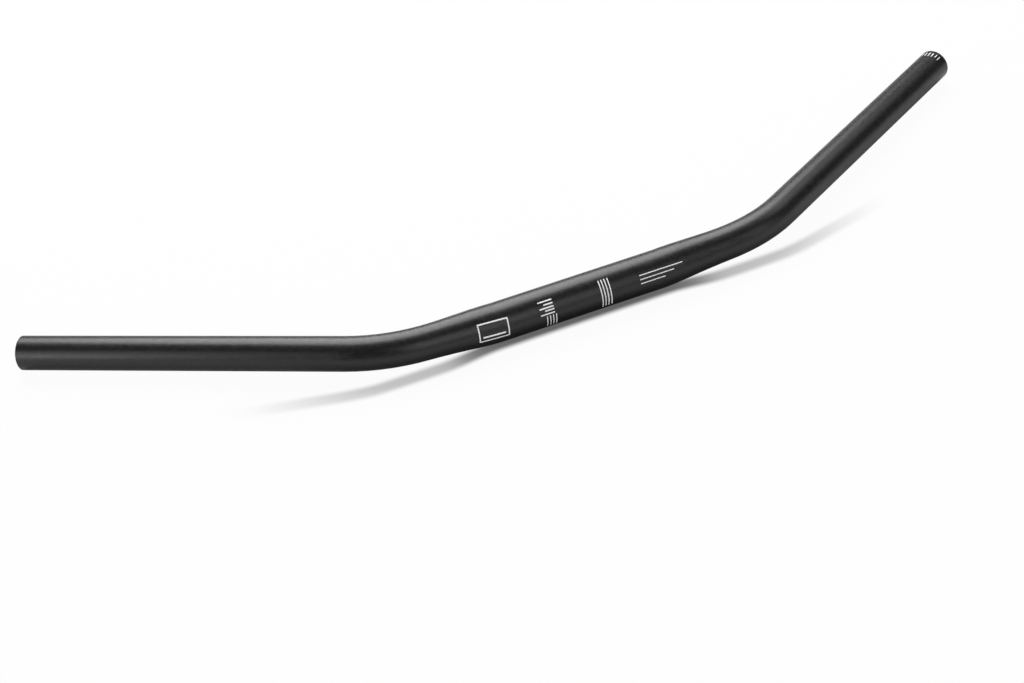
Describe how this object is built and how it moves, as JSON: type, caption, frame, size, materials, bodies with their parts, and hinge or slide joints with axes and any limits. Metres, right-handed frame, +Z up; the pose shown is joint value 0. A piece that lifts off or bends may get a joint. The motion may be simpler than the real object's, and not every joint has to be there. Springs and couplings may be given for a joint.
{
  "type": "trekking handlebar",
  "caption": "Bent hollow bicycle handlebar: a thicker clamp section runs through swaged necks and a slight rise into swept-back straight grip sections with open ends.",
  "frame": {"origin": "middle of the clamp section, on its axis", "axes": "+X along the clamp section to the rider's left, +Y the way the grips sweep back to the rider, +Z up"},
  "size_m": [0.68, 0.1491, 0.0273],
  "materials": {
    "anodised_tube": "satin black anodised, fine blasted grain",
    "print_ink": "white screen-printed ink on the tube's clamp marks"
  },
  "bodies": {
    "root": {"handlebar": "anodised_tube"}
  },
  "joints": []
}
